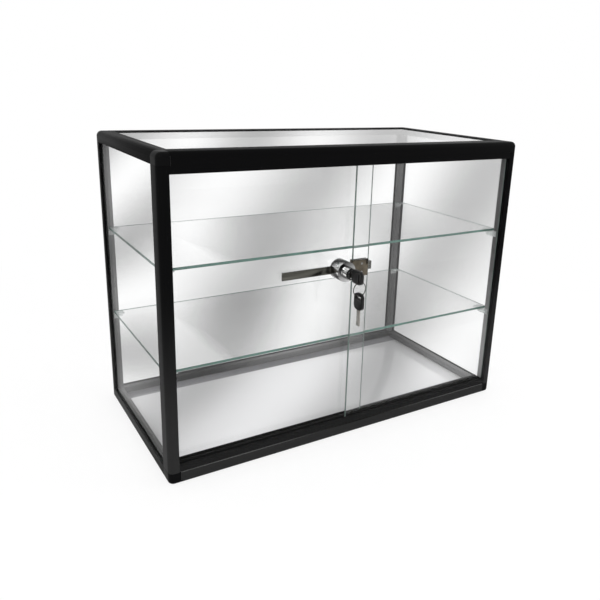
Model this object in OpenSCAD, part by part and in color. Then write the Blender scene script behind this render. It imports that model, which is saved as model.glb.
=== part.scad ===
// Countertop display case: a slim black frame glazed on all sides, with two glass
// shelves, two sliding glass doors and a ratchet bar lock with a pair of keys.
// Millimetres. The origin is the middle of the base, +Z is up, the doors face -Y.

/* [Case] */
// Overall width of the frame
case_w = 610; // [540:5:760]
// Overall depth of the frame
case_d = 305; // [240:5:400]
// Overall height of the frame
case_h = 457; // [430:5:560]

/* [Frame] */
// Height of the top and base rails
rail_h = 17; // [16:0.5:20]
// Thickness of the side rails, rear rails and rear posts
rail_t = 17; // [16:0.5:20]
// Wall around the chambers that take the corner plugs
rail_wall = 2; // [1.6:0.1:2.4]
// Width of the front posts' face
post_face_w = 15; // [14.5:0.5:19]
// Thickness of the front posts' face
post_face_t = 7; // [6:0.1:7.4]
// Radius of the outer edges under the base
base_r = 4.5; // [2:0.1:5]
// Radius of the posts' outer edges and of the outer edges around the top
top_r = 8; // [4:0.1:9]
// Length of the corner plugs inside the rails and posts
plug_len = 22; // [16:1:40]
// Gap around a plug in its chamber
plug_gap = 0.1; // [0.05:0.01:0.2]

/* [Glazing] */
// Thickness of the fixed panes
pane_t = 4; // [3:0.5:5]
// Depth of the side and back panes behind the frame's outer faces
pane_inset = 3; // [2.5:0.1:3.5]
// Depth that a pane reaches into the frame
pane_bite = 6; // [5:0.1:7]
// Drop from the frame's top to the top pane
top_pane_drop = 1.5; // [1.2:0.1:3]
// Gap around a pane in its groove
glazing_gap = 0.3; // [0.1:0.05:0.5]
// Thickness of the deck board
deck_t = 6; // [5:0.1:7]
// Thickness of the tongue around the deck board
deck_tongue_t = 4; // [3:0.1:4.5]
// Depth that the tongue reaches into the base rails
deck_bite = 4; // [3:0.1:5]

/* [Tracks] */
// Depth of the tracks' front lip
track_front_lip = 7.5; // [7.5:0.1:10]
// Wall between the two door grooves
track_mid_wall = 5; // [5:0.1:7]
// Wall behind the rear door groove
track_rear_wall = 3.5; // [2.5:0.1:6]
// Play of a door in its groove, front to back
track_play = 1; // [0.6:0.1:1.4]
// Height of the lower track
lower_track_h = 9; // [8:0.1:12]
// Depth of the lower track's grooves
lower_groove = 6; // [4:0.1:6.5]
// Height of the upper track
upper_track_h = 10; // [9:0.1:14]
// Depth of the upper track's grooves
upper_groove = 8; // [6:0.1:8.5]

/* [Doors] */
// Thickness of the door glass
door_t = 4; // [3:0.5:5]
// Overlap of the closed doors
door_overlap = 35; // [30:1:45]
// Distance from the case's middle to the middle of the overlap, to the right
door_seam = 7; // [0:0.5:15]
// Thickness of the buffers that the closed doors rest against
bumper_t = 1.5; // [1.3:0.1:2.5]
// Height of a buffer
bumper_h = 20; // [10:1:24]
// Thickness of the nylon glides under the doors
glide_t = 1.5; // [1:0.1:3]
// Length of a glide
glide_len = 30; // [15:1:60]
// Gap above a door in the upper track
door_top_gap = 2; // [1:0.1:3]

/* [Shelves] */
// Thickness of the shelf glass
shelf_t = 4; // [4:0.5:8]
// Height of the upper shelf's top face
upper_shelf_z = 306; // [300:1:340]
// Height of the lower shelf's top face
lower_shelf_z = 162; // [110:1:200]
// Gap between a shelf and the rear door
shelf_door_gap = 2.5; // [2:0.1:20]
// Gap between a shelf and the side panes
shelf_side_gap = 1.5; // [1:0.1:3]
// Thickness of the shelf clips
clip_t = 1.2; // [1:0.05:1.2]
// Length of a clip's pad under the shelf
clip_len = 14; // [8:1:24]
// Height of a clip's tab
clip_h = 10; // [6:1:20]

/* [Lock] */
// Distance from the right door's free edge to the lock's centre
lock_offset = 19.5; // [18.5:0.1:26]
// Height of the lock's centre
lock_z = 275.5; // [250:0.5:280]
// Diameter of the lock housing
housing_d = 31; // [31:0.5:33]
// Diameter of the housing's nose
nose_d = 19; // [16:0.5:28]
// Length of the housing's nose
nose_len = 13; // [4:0.5:16]
// Distance that the housing stands in front of the frame
housing_reach = 5; // [2:0.5:14]
// Diameter of the turning plug
plug_d = 12; // [11:0.1:14]
// Running clearance of the plug in its bore, on the radius
plug_clearance = 0.05; // [0.02:0.01:0.1]
// Width of the ratchet bar
bar_h = 12.6; // [10:0.1:13]
// Thickness of the ratchet bar
bar_t = 2; // [1.5:0.1:2.2]
// Length of the ratchet bar
bar_len = 154; // [130:1:180]
// Spacing of the bar's teeth
tooth_pitch = 4; // [3:0.1:6]
// Depth of the bar's teeth
tooth_depth = 1.2; // [0.6:0.1:1.6]
// Thickness of the pad between the bar and the left door
pad_t = 2.4; // [2.2:0.1:2.6]
// Width of the saddle that grips the right door
saddle_w = 28; // [24:0.5:36]
// Height of the saddle
saddle_h = 26; // [22:0.5:30]
// Thickness of the saddle's front plate
saddle_t = 3; // [2:0.1:4]
// Gap between the bar and what it slides through
slide_gap = 0.3; // [0.2:0.05:0.4]

/* [Keys] */
// Length of a key's head
head_len = 25; // [20:0.5:30]
// Width of a key's head
head_w = 20; // [18:0.5:26]
// Thickness of a key's head
head_t = 4.6; // [4:0.1:6]
// Length of a key's blade in front of its head
blade_len = 23; // [16:0.5:26]
// Width of a key's blade
blade_w = 7.2; // [6:0.1:8]
// Thickness of a key's blade
blade_t = 2; // [1.6:0.1:2.4]
// Radius of the key ring at the middle of its wire
ring_r = 10.5; // [9:0.5:16]
// Radius of the key ring's wire
wire_r = 0.9; // [0.6:0.05:1.1]

/* [Hidden] */
$fn = 48;
left = -case_w / 2;
right = case_w / 2;
front = -case_d / 2;
rear = case_d / 2;
// Reach of cuts past a face
past = 1;

// Frame
chamber = rail_t - pane_bite - 2 * rail_wall;
chamber_h = rail_h - pane_bite - 2 * rail_wall;
core = chamber + 2 * rail_wall;
// The chambers' outer corners are cut off, which keeps the wall's thickness inside the rounding
chamber_cut = (2 - sqrt(2)) * (top_r - rail_wall);
groove_w = door_t + track_play;
front_d = track_front_lip + 2 * groove_w + track_mid_wall + track_rear_wall;

// Doors
front_groove_y = front + track_front_lip;
rear_groove_y = front_groove_y + groove_w + track_mid_wall;
right_door_y = front_groove_y + track_play / 2;
left_door_y = rear_groove_y + track_play / 2;
door_inset = core + bumper_t;
glide_z = rail_h + lower_track_h - lower_groove;
door_z = glide_z + glide_t;
door_top = case_h - rail_h - upper_track_h + upper_groove - door_top_gap;
right_door_edge = door_seam - door_overlap / 2;
left_door_edge = door_seam + door_overlap / 2;
right_door_w = right - door_inset - right_door_edge;
left_door_w = left_door_edge - left - door_inset;
// Reach of the front posts behind the rear door
lip_cover = 1;
lip_end = left_door_y + door_t + lip_cover;

// Shelves
shelf_rear_gap = 0.5;
shelf_x = left + pane_inset + pane_t + shelf_side_gap;
shelf_front = left_door_y + door_t + shelf_door_gap;
shelf_rear = rear - rail_t - clip_t - shelf_rear_gap;
clip_pad_t = 2;
// The buffers stand below the lower shelf's clips and above the upper shelf
bumper_drop = 10;
bumper_rise = 40;
bumper_zs = [
    lower_shelf_z - shelf_t - clip_h - bumper_drop - bumper_h,
    upper_shelf_z + bumper_rise
];

// Lock
lock_x = right_door_edge - lock_offset;
bar_rear = left_door_y - pad_t;
bar_front = bar_rear - bar_t;
bar_top = lock_z + bar_h / 2;
hook_t = 2;
bar_end = left_door_edge + slide_gap + hook_t;
housing_front = front - housing_reach;
nose_front = housing_front - nose_len;
housing_rear = left_door_y - 2 * slide_gap;
plug_stand = 1;
plug_face = nose_front - plug_stand;
// Space between the plug and the bar, and the length of the cam in it
cam_room = 3.6;
cam_len = 2.5;
plug_rear = bar_front - cam_room;
cam_offset = 2.5;
cam_r = 1.5;
cam_rise = 1;
pawl_w = 6;
pawl_h = 4.4;
pawl_lift = cam_offset;
saddle_web = 2.3;
saddle_rear_t = 1;
saddle_grip = 0.1;
saddle_x = right_door_edge - saddle_web;
saddle_front = right_door_y - saddle_grip - saddle_t;
set_screw_r = 1.5;
set_screw_x = saddle_x + 0.6 * saddle_w;
set_screw_zs = [lock_z - saddle_h / 4, lock_z + saddle_h / 4];

// Keys
slot_half = 5;
slot_r = 2.2;
slot_margin = 6;
head_r = 7;
ring_seat = 0.3;
head_gap = 2;
tang_len = 9;
key_y = plug_face - head_gap - head_len;
ring_y = key_y + slot_margin;
ring_top = lock_z - slot_half - slot_r + wire_r + ring_seat;
ring_bottom = ring_top - 2 * ring_r;
spare_top = ring_bottom - slot_r + wire_r + ring_seat + slot_margin;

// Fasteners
screw_r = 1.25;
screw_head_r = 2.3;
screw_head_h = 1.4;
screw_gap = 0.1;
corner_screw_len = 7;
track_screw_len = 18;
track_screw_y = front_groove_y + groove_w + track_mid_wall / 2;
track_screw_xs = [left + 70, 0, right - 70];

// Helpers

// A box between two opposite corners, grown by the same amount on every side
module box(low, high, grow = 0) {
    translate(low - [grow, grow, grow]) cube(high - low + 2 * [grow, grow, grow]);
}

// Turns a piece of the base over to the same place at the top
module at_top() {
    translate([0, 0, case_h]) mirror([0, 0, 1]) children();
}

module mirrored_x() {
    mirror([1, 0, 0]) children();
}

module mirrored_y() {
    mirror([0, 1, 0]) children();
}

// Draws its children on the left and again on the right
module both_sides() {
    children();
    mirrored_x() children();
}

// Stands a shape drawn along +Z on the lock's axis, pointing to the rear
module on_lock_axis(y) {
    translate([lock_x, y, lock_z]) rotate([-90, 0, 0]) children();
}

// What is cut away to round the outer corner of an outline at its origin
module outer_rounding(radius) {
    difference() {
        translate([-past, -past]) square(radius + past);
        translate([radius, radius]) circle(radius);
    }
}

// The outline of a chamber in a rail or post, or of a plug that leaves a gap in it
module chamber_outline(height, gap = 0) {
    low = rail_wall + gap;
    width_end = rail_wall + chamber - gap;
    height_end = rail_wall + height - gap;
    polygon([
        [low + chamber_cut, low], [width_end, low], [width_end, height_end],
        [low, height_end], [low, low + chamber_cut]
    ]);
}

// Glazing

module side_pane(grow = 0) {
    box(
        [left + pane_inset, front + core + glazing_gap, rail_h - pane_bite],
        [left + pane_inset + pane_t, rear - core - glazing_gap, case_h - rail_h + pane_bite],
        grow
    );
}

module rear_pane(grow = 0) {
    box(
        [left + core + glazing_gap, rear - pane_inset - pane_t, rail_h - pane_bite],
        [right - core - glazing_gap, rear - pane_inset, case_h - rail_h + pane_bite],
        grow
    );
}

module roof_pane(grow = 0) {
    box(
        [left + core + glazing_gap, front + front_d - pane_bite, case_h - top_pane_drop - pane_t],
        [right - core - glazing_gap, rear - core - glazing_gap, case_h - top_pane_drop],
        grow
    );
}

module deck_tongue(grow = 0) {
    box(
        [left + rail_t - deck_bite, front + front_d - deck_bite, deck_t - deck_tongue_t],
        [right - rail_t + deck_bite, rear - rail_t + deck_bite, deck_t],
        grow
    );
}

// The space that the panes and the deck take up in the frame
module glazing_grooves() {
    both_sides() side_pane(glazing_gap);
    rear_pane(glazing_gap);
    roof_pane(glazing_gap);
    deck_tongue(glazing_gap);
}

// Fasteners

// A countersunk screw with its head flush at z = 0, pointing up
module countersunk_screw(length, grow = 0) {
    head_h = screw_head_h + 2 * grow;
    translate([0, 0, -grow]) cylinder(h = head_h, r1 = screw_head_r + grow, r2 = screw_r + grow);
    cylinder(h = length + grow, r = screw_r + grow);
}

// The base screws hold each corner's two level plugs
module corner_screw_set(grow = 0) {
    middle = rail_wall + chamber / 2;
    places = [
        [left + rail_t + plug_len / 2, front + middle, 0],
        [left + rail_t + plug_len / 2, rear - middle, 0],
        [left + middle, front + front_d + plug_len / 2, 0],
        [left + middle, rear - rail_t - plug_len / 2, 0]
    ];
    both_sides() for (place = places)
        translate(place) countersunk_screw(corner_screw_len, grow);
}

module track_screw_row(height, grow = 0) {
    for (x = track_screw_xs)
        translate([x, track_screw_y, height]) mirror([0, 0, 1]) countersunk_screw(track_screw_len, grow);
}

module track_screw_set(grow = 0) {
    track_screw_row(rail_h + lower_track_h, grow);
    at_top() track_screw_row(rail_h + upper_track_h, grow);
}

// What every frame piece leaves free
module frame_cuts() {
    glazing_grooves();
    corner_screw_set(screw_gap);
    track_screw_set(screw_gap);
}

// Frame

module rail_outline(depth, radius) {
    difference() {
        square([depth, rail_h]);
        outer_rounding(radius);
        chamber_outline(chamber_h);
    }
}

// A rail across the case along its front edge
module long_rail(depth, radius) {
    length = case_w - 2 * rail_t;
    translate([left + rail_t, front, 0]) rotate([90, 0, 90]) linear_extrude(length)
        rail_outline(depth, radius);
}

module front_rail(radius) {
    long_rail(front_d, radius);
}

module rear_rail(radius) {
    mirrored_y() long_rail(rail_t, radius);
}

module side_rail(radius) {
    length = case_d - front_d - rail_t;
    translate([left, rear - rail_t, 0]) rotate([90, 0, 0]) linear_extrude(length)
        rail_outline(rail_t, radius);
}

// A rail with its grooves and screw holes, in black
module frame_piece() {
    color("black") difference() {
        children();
        frame_cuts();
    }
}

module base_front_rail() { frame_piece() front_rail(base_r); }
module base_rear_rail() { frame_piece() rear_rail(base_r); }
module base_left_rail() { frame_piece() side_rail(base_r); }
module base_right_rail() { frame_piece() mirrored_x() side_rail(base_r); }
module top_front_rail() { frame_piece() at_top() front_rail(top_r); }
module top_rear_rail() { frame_piece() at_top() rear_rail(top_r); }
module top_left_rail() { frame_piece() at_top() side_rail(top_r); }
module top_right_rail() { frame_piece() at_top() mirrored_x() side_rail(top_r); }

// The face covers the closed doors' edges, and the lip and the outer wall hold the side pane
module front_post_outline() {
    difference() {
        union() {
            square([post_face_w, post_face_t]);
            square([core, lip_end - front]);
            square([pane_inset, front_d]);
        }
        outer_rounding(top_r);
        chamber_outline(chamber);
    }
}

module rear_post_outline() {
    difference() {
        square(rail_t);
        outer_rounding(top_r);
        chamber_outline(chamber);
    }
}

module front_post() {
    translate([left, front, rail_h]) linear_extrude(case_h - 2 * rail_h) front_post_outline();
}

module rear_post() {
    mirrored_y() translate([left, front, rail_h]) linear_extrude(case_h - 2 * rail_h) rear_post_outline();
}

module left_front_post() { frame_piece() front_post(); }
module right_front_post() { frame_piece() mirrored_x() front_post(); }
module left_rear_post() { frame_piece() rear_post(); }
module right_rear_post() { frame_piece() mirrored_x() rear_post(); }

// A cast corner: a block rounded on its three outer edges, with a plug for each of
// the two rails and the post that meet there
module corner_casting(depth, radius) {
    plug = plug_len + past;
    intersection() {
        linear_extrude(rail_h) difference() {
            square([rail_t, depth]);
            outer_rounding(top_r);
        }
        translate([0, depth, 0]) rotate([90, 0, 0]) linear_extrude(depth) difference() {
            square([rail_t, rail_h]);
            outer_rounding(radius);
        }
        rotate([90, 0, 90]) linear_extrude(rail_t) difference() {
            square([depth, rail_h]);
            outer_rounding(radius);
        }
    }
    translate([rail_t - past, 0, 0]) rotate([90, 0, 90]) linear_extrude(plug)
        chamber_outline(chamber_h, plug_gap);
    translate([0, depth + plug_len, 0]) rotate([90, 0, 0]) linear_extrude(plug)
        chamber_outline(chamber_h, plug_gap);
    translate([0, 0, rail_h - past]) linear_extrude(plug) chamber_outline(chamber, plug_gap);
}

module front_corner(radius) {
    translate([left, front, 0]) corner_casting(front_d, radius);
}

module rear_corner(radius) {
    mirrored_y() translate([left, front, 0]) corner_casting(rail_t, radius);
}

module base_left_front_corner() { frame_piece() front_corner(base_r); }
module base_right_front_corner() { frame_piece() mirrored_x() front_corner(base_r); }
module base_left_rear_corner() { frame_piece() rear_corner(base_r); }
module base_right_rear_corner() { frame_piece() mirrored_x() rear_corner(base_r); }
module top_left_front_corner() { frame_piece() at_top() front_corner(top_r); }
module top_right_front_corner() { frame_piece() at_top() mirrored_x() front_corner(top_r); }
module top_left_rear_corner() { frame_piece() at_top() rear_corner(top_r); }
module top_right_rear_corner() { frame_piece() at_top() mirrored_x() rear_corner(top_r); }

module corner_screws() {
    color("dimgray") corner_screw_set();
}

module track_screws() {
    color("dimgray") track_screw_set();
}

// Panes and deck

module top_pane() {
    color("lightcyan", 0.4) roof_pane();
}

module left_pane() {
    color("lightcyan", 0.4) side_pane();
}

module right_pane() {
    color("lightcyan", 0.4) mirrored_x() side_pane();
}

module back_pane() {
    color("lightcyan", 0.4) rear_pane();
}

// The board fills the base between the rails and rests on the counter with them
module deck_board() {
    color("whitesmoke") {
        deck_tongue();
        box(
            [left + rail_t + glazing_gap, front + front_d + glazing_gap, 0],
            [right - rail_t - glazing_gap, rear - rail_t - glazing_gap, deck_t]
        );
    }
}

// Door tracks

module track_outline(height, groove) {
    difference() {
        square([front_d, height]);
        for (y = [front_groove_y, rear_groove_y])
            translate([y - front, height - groove]) square([groove_w, groove + past]);
    }
}

module track(height, groove) {
    length = case_w - 2 * post_face_w;
    translate([left + post_face_w, front, rail_h])
        rotate([90, 0, 90]) linear_extrude(length) track_outline(height, groove);
}

module lower_track() { frame_piece() track(lower_track_h, lower_groove); }
module upper_track() { frame_piece() at_top() track(upper_track_h, upper_groove); }

// Buffers on the posts, in line with the closed doors
module door_bumpers() {
    margin = 0.2;
    size = [bumper_t - margin, door_t - 2 * margin, bumper_h];
    color("black") for (z = bumper_zs) {
        translate([left + core, left_door_y + margin, z]) cube(size);
        translate([right - core - size.x, right_door_y + margin, z]) cube(size);
    }
}

// Doors

module door_pane(x, y, width) {
    color("lightcyan", 0.4) translate([x, y, door_z]) cube([width, door_t, door_top - door_z]);
}

module door_glides(x, y, width) {
    inset = glide_len;
    color("white") for (start = [x + inset, x + width - inset - glide_len])
        translate([start, y, glide_z]) cube([glide_len, door_t, glide_t]);
}

module left_door_glass() { door_pane(left + door_inset, left_door_y, left_door_w); }
module left_door_glides() { door_glides(left + door_inset, left_door_y, left_door_w); }
module right_door_glass() { door_pane(right_door_edge, right_door_y, right_door_w); }
module right_door_glides() { door_glides(right_door_edge, right_door_y, right_door_w); }

// Shelves

module shelf(z) {
    color("paleturquoise", 0.5) box([shelf_x, shelf_front, z - shelf_t], [-shelf_x, shelf_rear, z]);
}

// Front clips are fixed to the posts' lips, rear clips to the rear posts
module shelf_clips(z) {
    seat = z - shelf_t;
    color("gainsboro") both_sides() {
        box(
            [left + core, lip_end - clip_len / 2, seat - clip_h],
            [left + core + clip_t, shelf_front + clip_len, seat]
        );
        box(
            [left + core, shelf_front, seat - clip_pad_t],
            [left + core + clip_len, shelf_front + clip_len, seat]
        );
        box(
            [shelf_x, rear - rail_t - clip_t, seat - clip_h],
            [shelf_x + clip_len, rear - rail_t, seat]
        );
        box(
            [shelf_x, rear - rail_t - clip_len, seat - clip_pad_t],
            [shelf_x + clip_len, rear - rail_t, seat]
        );
    }
}

module upper_shelf() { shelf(upper_shelf_z); }
module lower_shelf() { shelf(lower_shelf_z); }
module upper_shelf_clips() { shelf_clips(upper_shelf_z); }
module lower_shelf_clips() { shelf_clips(lower_shelf_z); }

// Ratchet bar

// A flat bar with saw teeth along its top, seen from the front
module bar_outline() {
    start = bar_end - bar_len;
    toothed = lock_x - start;
    count = floor(toothed / tooth_pitch);
    teeth = [
        for (i = [0 : count - 1]) each [
            [start + i * tooth_pitch, bar_top],
            [start + (i + 1) * tooth_pitch, bar_top - tooth_depth]
        ]
    ];
    polygon(concat(
        [[bar_end, bar_top - bar_h], [start, bar_top - bar_h]],
        teeth,
        [[start + count * tooth_pitch, bar_top], [bar_end, bar_top]]
    ));
}

// The bar's right end hooks round the left door's edge
module ratchet_bar() {
    hook_rear = left_door_y + door_t + slide_gap + hook_t;
    hook_reach = 14;
    color("silver") {
        translate([0, bar_rear, 0]) rotate([90, 0, 0]) linear_extrude(bar_t) bar_outline();
        box([bar_end - hook_t, bar_front, bar_top - bar_h], [bar_end, hook_rear, bar_top]);
        box([bar_end - hook_reach, hook_rear - hook_t, bar_top - bar_h], [bar_end, hook_rear, bar_top]);
    }
}

module bar_pad() {
    length = 12;
    color("black") box(
        [left_door_edge - length, bar_rear, bar_top - bar_h],
        [left_door_edge, left_door_y, bar_top]
    );
}

// Lock

module lock_housing() {
    arm_h = 18;
    arm_front = right_door_y - saddle_t;
    arm_rear = right_door_y + door_t;
    slot_half_h = bar_h / 2 + slide_gap;
    color("silver") difference() {
        union() {
            on_lock_axis(housing_front) cylinder(h = housing_rear - housing_front, d = housing_d);
            on_lock_axis(nose_front) cylinder(h = nose_len + past, d = nose_d);
            box([lock_x, arm_front, lock_z - arm_h / 2], [saddle_x, arm_rear, lock_z + arm_h / 2]);
        }
        on_lock_axis(nose_front - past) {
            cylinder(h = plug_rear - nose_front + past + slide_gap, r = plug_d / 2 + plug_clearance);
        }
        on_lock_axis(plug_rear) cylinder(h = bar_front - plug_rear, r = cam_offset + cam_r + slide_gap);
        box(
            [lock_x - housing_d, bar_front - slide_gap, lock_z - slot_half_h],
            [lock_x + housing_d, bar_rear + slide_gap, lock_z + slot_half_h]
        );
        box(
            [lock_x - pawl_w / 2 - slide_gap, plug_rear, lock_z],
            [
                lock_x + pawl_w / 2 + slide_gap,
                bar_rear + slide_gap,
                bar_top + slide_gap + pawl_h + pawl_lift + slide_gap
            ]
        );
    }
}

// The saddle grips both faces of the right door at its free edge
module lock_saddle() {
    saddle_rear = right_door_y + door_t + saddle_grip + saddle_rear_t;
    color("silver") difference() {
        box(
            [saddle_x, saddle_front, lock_z - saddle_h / 2],
            [saddle_x + saddle_w, saddle_rear, lock_z + saddle_h / 2]
        );
        box(
            [right_door_edge - saddle_grip, right_door_y - saddle_grip, lock_z - saddle_h],
            [saddle_x + saddle_w + past, right_door_y + door_t + saddle_grip, lock_z + saddle_h]
        );
        saddle_screw_set(screw_gap);
    }
}

// The set screws reach through the saddle's front plate to the glass
module saddle_screw_set(grow = 0) {
    for (z = set_screw_zs)
        translate([set_screw_x, saddle_front - grow, z])
            rotate([-90, 0, 0]) cylinder(h = saddle_t + saddle_grip + grow, r = set_screw_r + grow);
}

// Hexagon sockets in the faces of the set screws
module saddle_sockets(radius, depth) {
    for (z = set_screw_zs)
        translate([set_screw_x, saddle_front - past, z])
            rotate([-90, 0, 0]) cylinder(h = depth + past, r = radius, $fn = 6);
}

module saddle_screws() {
    socket_r = 0.9;
    socket_depth = 1.2;
    color("dimgray") difference() {
        saddle_screw_set();
        saddle_sockets(socket_r, socket_depth);
    }
}

// The plug turns with the key, and the cam behind it lifts the pawl
module lock_plug() {
    keyway_gap = 0.25;
    keyway_end = plug_face + blade_len + keyway_gap;
    color("silver") difference() {
        union() {
            on_lock_axis(plug_face) cylinder(h = plug_rear - plug_face, r = plug_d / 2);
            translate([-cam_offset, 0, 0])
                on_lock_axis(plug_rear - past) cylinder(h = cam_len + past, r = cam_r);
        }
        box(
            [lock_x - blade_t / 2 - keyway_gap, plug_face - past, lock_z - blade_w / 2 - keyway_gap],
            [lock_x + blade_t / 2 + keyway_gap, keyway_end, lock_z + blade_w / 2 + keyway_gap]
        );
    }
}

// The pawl stands just above the bar's teeth, with a lug over the cam
module lock_pawl() {
    tip = bar_top + slide_gap;
    lug_front = plug_rear + slide_gap;
    color("gray") {
        box([lock_x - pawl_w / 2, lug_front, tip], [lock_x + pawl_w / 2, bar_rear, tip + pawl_h]);
        box(
            [lock_x - pawl_w / 2, lug_front, lock_z + cam_r + cam_rise],
            [lock_x + pawl_w / 2, bar_front - 2 * slide_gap, tip + pawl_h]
        );
    }
}

// Keys

// A key's head, from its free end along +X, with a slot for the ring across it
module head_outline() {
    difference() {
        union() {
            translate([head_r, -head_w / 2]) square([head_len - 2 * head_r, head_w]);
            translate([0, head_r - head_w / 2]) square([head_len, head_w - 2 * head_r]);
            for (x = [head_r, head_len - head_r], y = [head_r - head_w / 2, head_w / 2 - head_r])
                translate([x, y]) circle(head_r);
        }
        translate([slot_margin - slot_r, -slot_half]) square([2 * slot_r, 2 * slot_half]);
        for (y = [-slot_half, slot_half])
            translate([slot_margin, y]) circle(slot_r);
    }
}

// A key's blade with its tang inside the head, notched along one edge
module blade_outline(grow = 0) {
    start = head_len - tang_len;
    notch = 1.1;
    pitch = 4;
    count = floor((blade_len - 2 * pitch) / pitch);
    difference() {
        translate([start - grow, -blade_w / 2 - grow])
            square([tang_len + head_gap + blade_len + 2 * grow, blade_w + 2 * grow]);
        if (grow == 0) for (i = [0 : count])
            translate([head_len + head_gap + (i + 1) * pitch, blade_w / 2])
                polygon([[-pitch / 2, past], [-notch / 2, -notch], [notch / 2, -notch], [pitch / 2, past]]);
    }
}

module key_head_solid() {
    tang_gap = 0.05;
    pocket_t = blade_t + 2 * tang_gap;
    color("black") difference() {
        translate([0, 0, -head_t / 2]) linear_extrude(head_t) head_outline();
        translate([0, 0, -pocket_t / 2]) linear_extrude(pocket_t) blade_outline(tang_gap);
    }
}

module key_blade_solid() {
    color("silver") translate([0, 0, -blade_t / 2]) linear_extrude(blade_t) blade_outline();
}

// The key in the lock points to the rear, with its flat sides to the left and right
module in_lock() {
    translate([lock_x, key_y, lock_z]) rotate([0, 90, 0]) rotate([0, 0, 90]) children();
}

// The spare key hangs from the ring with its blade down
module on_ring() {
    translate([lock_x, ring_y, spare_top]) rotate([0, 90, 0]) children();
}

module key_blade() { in_lock() key_blade_solid(); }
module key_head() { in_lock() key_head_solid(); }
module spare_key_blade() { on_ring() key_blade_solid(); }
module spare_key_head() { on_ring() key_head_solid(); }

module key_ring() {
    color("silver") translate([lock_x, ring_y, ring_top - ring_r])
        rotate([90, 0, 0]) rotate_extrude() translate([ring_r, 0]) circle(wire_r);
}

base_front_rail();
base_rear_rail();
base_left_rail();
base_right_rail();
top_front_rail();
top_rear_rail();
top_left_rail();
top_right_rail();
left_front_post();
right_front_post();
left_rear_post();
right_rear_post();
base_left_front_corner();
base_right_front_corner();
base_left_rear_corner();
base_right_rear_corner();
top_left_front_corner();
top_right_front_corner();
top_left_rear_corner();
top_right_rear_corner();
top_pane();
left_pane();
right_pane();
back_pane();
deck_board();
lower_track();
upper_track();
door_bumpers();
corner_screws();
track_screws();
upper_shelf();
lower_shelf();
upper_shelf_clips();
lower_shelf_clips();
left_door_glass();
left_door_glides();
ratchet_bar();
bar_pad();
right_door_glass();
right_door_glides();
lock_housing();
lock_saddle();
saddle_screws();
lock_plug();
lock_pawl();
key_blade();
key_head();
key_ring();
spare_key_blade();
spare_key_head();
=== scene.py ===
"""Looks of the countertop display case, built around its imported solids.

Metres, in the frame of the solids: the doors face -Y, +Z is up and the base stands on z = 0.
"""

import math
from functools import partial
from typing import NamedTuple

import bmesh
import bpy
from bpy.props import FloatProperty, FloatVectorProperty, IntProperty, PointerProperty
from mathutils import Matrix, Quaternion, Vector


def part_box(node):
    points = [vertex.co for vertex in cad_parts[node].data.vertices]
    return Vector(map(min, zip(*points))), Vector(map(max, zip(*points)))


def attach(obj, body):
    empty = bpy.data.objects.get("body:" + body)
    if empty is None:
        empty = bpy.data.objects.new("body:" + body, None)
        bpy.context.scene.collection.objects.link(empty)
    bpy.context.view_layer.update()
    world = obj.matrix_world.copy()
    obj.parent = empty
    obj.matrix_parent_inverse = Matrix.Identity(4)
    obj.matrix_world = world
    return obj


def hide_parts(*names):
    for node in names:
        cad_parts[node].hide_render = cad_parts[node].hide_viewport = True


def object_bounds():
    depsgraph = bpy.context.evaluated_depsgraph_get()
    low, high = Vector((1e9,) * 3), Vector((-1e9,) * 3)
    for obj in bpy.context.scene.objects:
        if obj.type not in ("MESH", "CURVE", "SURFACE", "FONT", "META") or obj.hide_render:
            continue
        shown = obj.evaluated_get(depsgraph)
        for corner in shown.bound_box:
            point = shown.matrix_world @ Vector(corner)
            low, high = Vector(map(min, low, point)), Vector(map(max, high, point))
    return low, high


bl_info = {
    "name": "Countertop display case",
    "version": (1, 0, 0),
    "blender": (4, 5, 0),
    "location": "View3D > Sidebar > Display case",
    "description": "Builds the looks of a glazed display case around its solids",
    "category": "Object",
}

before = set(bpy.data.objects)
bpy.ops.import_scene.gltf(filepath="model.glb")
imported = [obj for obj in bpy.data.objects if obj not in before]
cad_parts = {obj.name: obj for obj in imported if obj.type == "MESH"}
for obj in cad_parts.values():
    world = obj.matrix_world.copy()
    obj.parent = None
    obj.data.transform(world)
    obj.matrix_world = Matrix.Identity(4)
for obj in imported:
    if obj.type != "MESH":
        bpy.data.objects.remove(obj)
CAD_LOW, CAD_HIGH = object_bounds()

MM = 0.001
MERGE_DISTANCE = 1e-6
FLAT_ANGLE = math.radians(0.5)
SHARP_ANGLE = math.radians(30)

RAILS = ("front", "rear", "left", "right")
CORNERS = ("left_front", "right_front", "left_rear", "right_rear")

# Most of the noise lies in this range
NOISE_RANGE = (0.3, 0.7)
# How far a coat's roughness varies to each side
ROUGHNESS_SPREAD = 0.06
# Scale of the smears on metal
SMEAR_SCALE = 160.0
# Share of the case's height at which the colour near the floor (on the coats, a painted floor reflection) has
# faded out
FADE_SHARE = 0.7
# Distance over which the painted reflection bands set in, right of their start
BAND_FADE = 30 * MM
# X from which the painted reflection bands on the back pane and the shelves run
PLAIN_LEFT = -0.22


class ReflectionBands(NamedTuple):
    """Painted reflections: soft darker bands that run straight across a sheet or a rail

    They have turns per metre along X, Y and Z and an offset in turns. A share of the colour is left
    between the crests. They run from an X, which by default is well left of the case.
    """

    turns: tuple
    offset: float
    share: float
    start: float = -1.0


# Painted reflections of the studio, as bands in the colour of the panes, doors, shelves, deck and base rails'
# inner faces
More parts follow.
